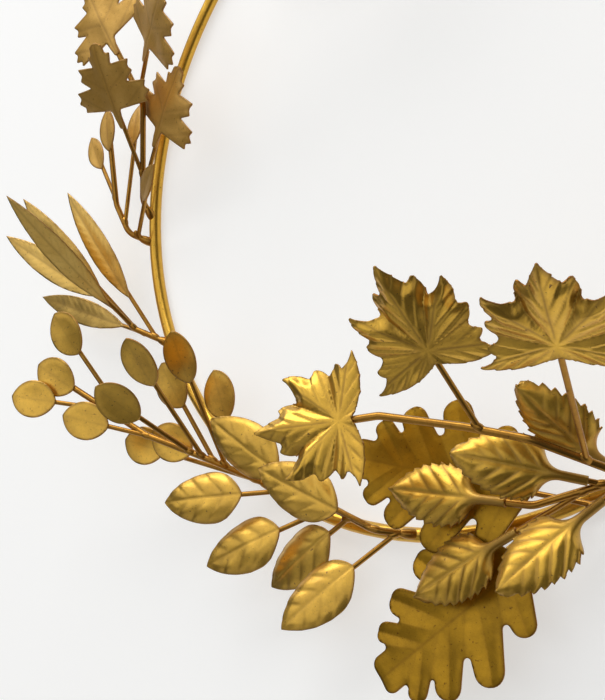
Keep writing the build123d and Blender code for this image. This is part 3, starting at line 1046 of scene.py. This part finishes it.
GOLD = (0.83, 0.49, 0.046)
GOLD_SHADE = (0.57, 0.32, 0.025)
# Umber: the colour of tarnish, and also of the painted shade in the maple bays and hornbeam valleys
UMBER = (0.13, 0.05, 0.004)
RUSSET = (0.24, 0.11, 0.015)
LEAF_GOLD = leaf_metal("antique gold leaf", GOLD, GOLD_SHADE, (0.18, 0.07, 0.006), 0.41)
CLEAR_GOLD = leaf_metal("clear gold leaf", GOLD, GOLD_SHADE, UMBER, 0.37, lacquer=0.4)
SHADED_GOLD = leaf_metal("shaded gold leaf", GOLD, GOLD_SHADE, UMBER, 0.42, lacquer=0.4)
DEEP_GOLD = leaf_metal(
    "deep gold leaf",
    light=(0.48, 0.26, 0.012),
    deep=(0.31, 0.165, 0.007),
    tarnish=(0.12, 0.045, 0.003),
    roughness=0.46,
    lacquer=0.12,
)
# Painted light: a paler, less saturated copy of the leaf gold that lightens the willow leaves
PALE_GOLD = leaf_metal(
    "pale gold leaf",
    light=(0.82, 0.54, 0.12),
    deep=(0.70, 0.43, 0.07),
    tarnish=RUSSET,
    roughness=0.44,
)
BROWN_GOLD = leaf_metal(
    "brown gold leaf",
    light=(0.70, 0.42, 0.09),
    deep=(0.57, 0.32, 0.05),
    tarnish=RUSSET,
    roughness=0.56,
    lacquer=0.4,
)
LEAF_EDGE = metal(
    "copper brown edge",
    light=(0.46, 0.21, 0.03),
    deep=(0.32, 0.13, 0.02),
    tarnish=(0.08, 0.03, 0.01),
    roughness=0.45,
    grain=0.2,
)
WIRE_GOLD = metal(
    "browned wire",
    light=(0.45, 0.225, 0.028),
    deep=(0.27, 0.12, 0.013),
    tarnish=(0.10, 0.04, 0.01),
    roughness=0.34,
    grain=0.15,
)
HOOP_GOLD = metal(
    "hoop brass",
    light=(0.76, 0.45, 0.06),
    deep=(0.60, 0.33, 0.033),
    tarnish=(0.18, 0.08, 0.01),
    roughness=0.36,
    grain=0.1,
)
FINISHES = {
    "maple": CLEAR_GOLD,
    "hornbeam": SHADED_GOLD,
    "oak": DEEP_GOLD,
    "beech": LEAF_GOLD,
    "eucalyptus": LEAF_GOLD,
    "willow": PALE_GOLD,
    "hawthorn": BROWN_GOLD,
    "myrtle": BROWN_GOLD,
}


def dress(piece, *materials):
    """Give a piece its finishes."""
    piece.data.materials.clear()
    for material in materials:
        piece.data.materials.append(material)


# The ring: its wires dressed, its leaves pressed and its joins brazed
for node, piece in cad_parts.items():
    dress(piece, HOOP_GOLD if node == "hoop" else WIRE_GOLD)

for plant, sprig in SPRIGS.items():
    kind = KINDS[plant]
    blade = flat_blade(kind)
    for repeat in range(REPEATS):
        around = Matrix.Rotation(-2 * pi * repeat / REPEATS, 4, "Z")
        places = [Matrix.Scale(MM, 4) @ around @ place for place in sprig_places(sprig, kind.hold)]
        node = f"{plant}_leaves_{repeat + 1}"
        piece = add_leaves(f"{plant}_pressings_{repeat + 1}", kind, blade, places, seed=node)
        dress(piece, FINISHES[plant], LEAF_EDGE)
        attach(piece, "root")
        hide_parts(node)
        beads = add_braze(f"{plant}_braze_{repeat + 1}", sprig_joins(sprig, kind.hold), around)
        dress(beads, WIRE_GOLD)
        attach(beads, "root")
    blade.free()


# Floor, light and camera
FLOOR_REACH = 30.0
FLOOR_GLOW = 0.57
HORIZON_GLOW = 0.58
ROOM_GLOW = 0.06
HORIZON_FADE = 0.12  # height above the horizon at which the room is dim, as a share of straight up
LIT_PLACE = (-0.05, -0.05, 0.03)
CAMERA_PLACE = (0.2345, -0.1478, 0.332)
CAMERA_FORWARD = (-0.648, 0.147, -0.747)
CAMERA_UP = (0, 0.981, 0.193)
PHOTO_HEIGHT = 700
FOCAL_PIXELS = 1200
SENSOR = 36


def make_floor():
    """Plain pale floor that goes on to the horizon."""
    mesh = bmesh.new()
    bmesh.ops.create_grid(mesh, x_segments=1, y_segments=1, size=FLOOR_REACH)
    data = bpy.data.meshes.new("floor")
    mesh.to_mesh(data)
    mesh.free()
    ground = bpy.data.objects.new("floor", data)
    bpy.context.scene.collection.objects.link(ground)
    paint = bpy.data.materials.new("pale floor")
    paint.use_nodes = True
    shader = paint.node_tree.nodes["Principled BSDF"]
    shader.inputs["Base Color"].default_value = (0.45, 0.45, 0.445, 1)
    shader.inputs["Roughness"].default_value = 0.9
    shader.inputs["Emission Color"].default_value = (1, 1, 0.99, 1)
    shader.inputs["Emission Strength"].default_value = FLOOR_GLOW
    data.materials.append(paint)


def make_world():
    """Dim surroundings, as pale as the floor at the horizon and fading above it."""
    world = bpy.data.worlds.new("studio")
    world.use_nodes = True
    tree = world.node_tree
    place = tree.nodes.new("ShaderNodeTexCoord")
    split = tree.nodes.new("ShaderNodeSeparateXYZ")
    link(tree, place.outputs["Generated"], split.inputs["Vector"])
    fade = tree.nodes.new("ShaderNodeMapRange")
    fade.inputs["From Max"].default_value = HORIZON_FADE
    fade.inputs["To Min"].default_value = HORIZON_GLOW
    fade.inputs["To Max"].default_value = ROOM_GLOW
    link(tree, split.outputs["Z"], fade.inputs["Value"])
    background = tree.nodes["Background"]
    background.inputs["Color"].default_value = (1, 1, 1, 1)
    link(tree, fade.outputs["Result"], background.inputs["Strength"])
    bpy.context.scene.world = world


def add_light(name, place, size, power, target=LIT_PLACE):
    """Soft light from a panel that faces its target."""
    lamp = bpy.data.lights.new(name, "AREA")
    lamp.shape = "RECTANGLE"
    lamp.size, lamp.size_y = size
    lamp.energy = power
    holder = bpy.data.objects.new(name, lamp)
    holder.location = place
    holder.rotation_euler = (Vector(target) - Vector(place)).to_track_quat("-Z", "Y").to_euler()
    bpy.context.scene.collection.objects.link(holder)


def add_camera():
    """Camera where the photograph was taken from: left of the picture is the far side of the ring."""
    forward = Vector(CAMERA_FORWARD).normalized()
    up = Vector(CAMERA_UP)
    up = (up - forward * up.dot(forward)).normalized()
    right = forward.cross(up)
    lens = bpy.data.cameras.new("camera")
    lens.sensor_fit = "AUTO"
    lens.sensor_width = SENSOR
    lens.lens = SENSOR * FOCAL_PIXELS / PHOTO_HEIGHT
    lens.clip_start = 0.01
    camera = bpy.data.objects.new("camera", lens)
    turn = Matrix((right, up, -forward)).transposed().to_4x4()
    camera.matrix_world = Matrix.Translation(CAMERA_PLACE) @ turn
    bpy.context.scene.collection.objects.link(camera)
    bpy.context.scene.camera = camera


make_floor()
add_light("window", place=(-0.6, 1.55, 1.0), size=(2.4, 1.2), power=36)
add_light("overhead", place=(0.2, 0.1, 1.6), size=(1.8, 1.8), power=8, target=(0, -0.05, 0.03))
add_light("fill", place=(-0.5, -1.35, 1.0), size=(1.4, 1.2), power=2.2)
add_light("side", place=(-1.15, 0.25, 1.7), size=(1.2, 1.2), power=3.8)
make_world()
bpy.context.scene.view_settings.view_transform = "Standard"
add_camera()
